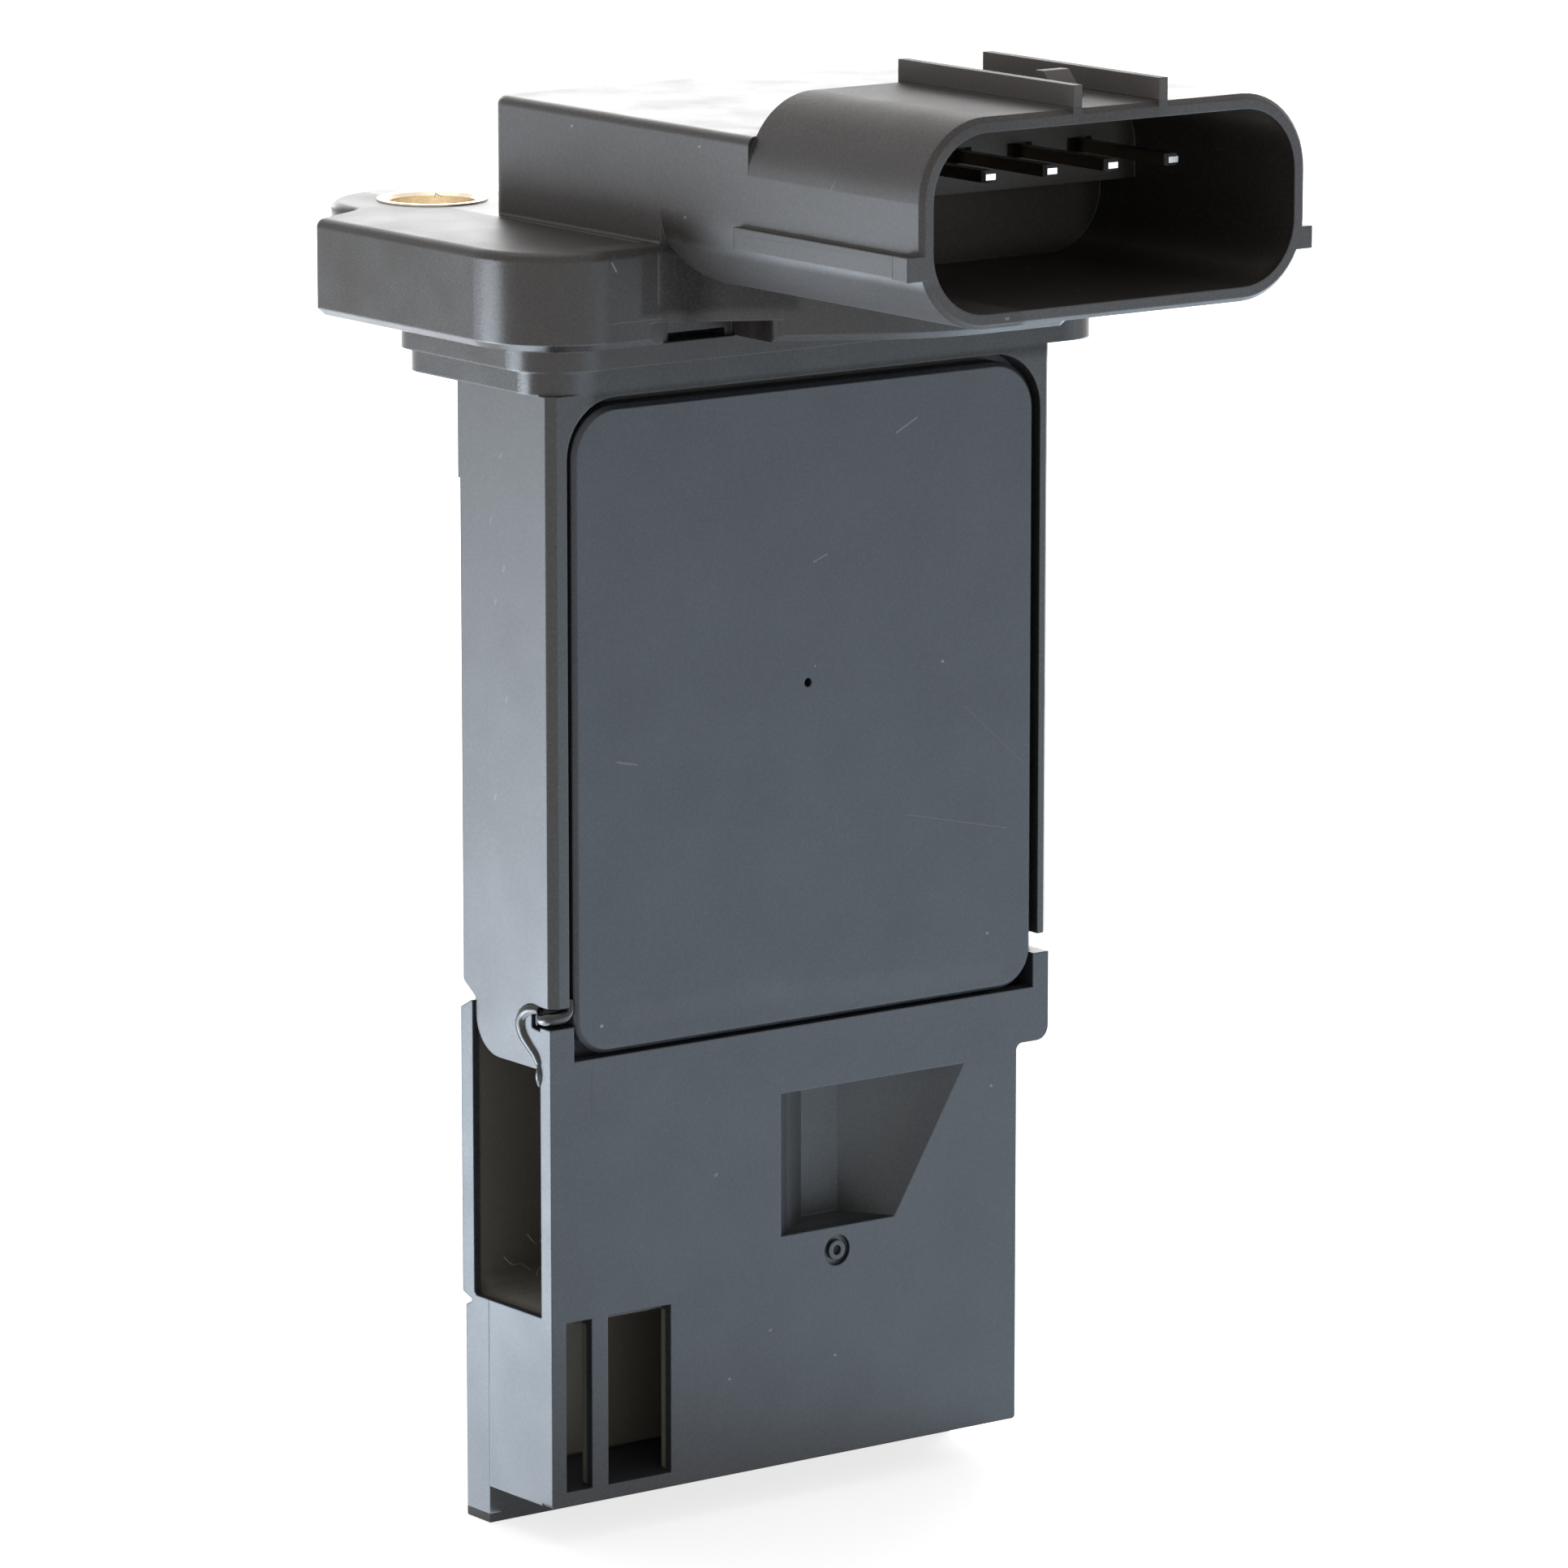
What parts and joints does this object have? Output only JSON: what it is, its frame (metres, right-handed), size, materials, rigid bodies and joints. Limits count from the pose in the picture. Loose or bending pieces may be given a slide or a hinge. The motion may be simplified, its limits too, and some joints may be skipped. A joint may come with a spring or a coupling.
{
  "type": "mass airflow sensor",
  "caption": "Plug-in intake air flow sensor: flat body with a bypass duct below a screw flange, and a side-facing terminal socket above it.",
  "frame": {"origin": "centre of the plug's section, on the plane of the flange's underside", "axes": "+Z points out of the duct, -Y is the cover side that the socket faces, +X runs along the air flow"},
  "size_m": [0.0497, 0.0518, 0.0814],
  "materials": {
    "housing_plastic": "moulded, fine satin texture, glass filled",
    "cover_plastic": "moulded flat plate, satin",
    "bypass_plastic": "moulded, satin",
    "sealant": "cured silicone bead, glossy black",
    "bush_brass": "turned, bright",
    "base_aluminium": "rolled sheet",
    "board_ceramic": "fired alumina ceramic",
    "chip_resin": "moulded epoxy package",
    "capacitor_body": "sintered ceramic chip",
    "resistor_body": "glazed thick film chip",
    "bond_aluminium": "drawn bond ribbon",
    "carrier_plastic": "moulded over a lead frame",
    "chip_silicon": "polished silicon",
    "bead_resin": "dispensed epoxy",
    "terminal_tin": "drawn brass, tin plated"
  },
  "bodies": {
    "root": {"housing": "housing_plastic", "cover_plate": "cover_plastic", "bypass_shell": "bypass_plastic", "bypass_back_plate": "bypass_plastic", "cover_sealant": "sealant", "bush_left": "bush_brass", "bush_right": "bush_brass", "base_plate": "base_aluminium", "circuit_board": "board_ceramic", "control_chip": "chip_resin", "capacitor_1": "capacitor_body", "capacitor_2": "capacitor_body", "capacitor_3": "capacitor_body", "resistor_1": "resistor_body", "resistor_2": "resistor_body", "resistor_3": "resistor_body", "terminal_wires": "bond_aluminium", "carrier_wires": "bond_aluminium", "sensor_carrier": "carrier_plastic", "flow_chip": "chip_silicon", "chip_bead": "bead_resin", "thermistor_bead": "bead_resin", "thermistor_leads": "terminal_tin", "terminal_1": "terminal_tin", "terminal_2": "terminal_tin", "terminal_3": "terminal_tin", "terminal_4": "terminal_tin", "terminal_5": "terminal_tin"}
  },
  "joints": []
}
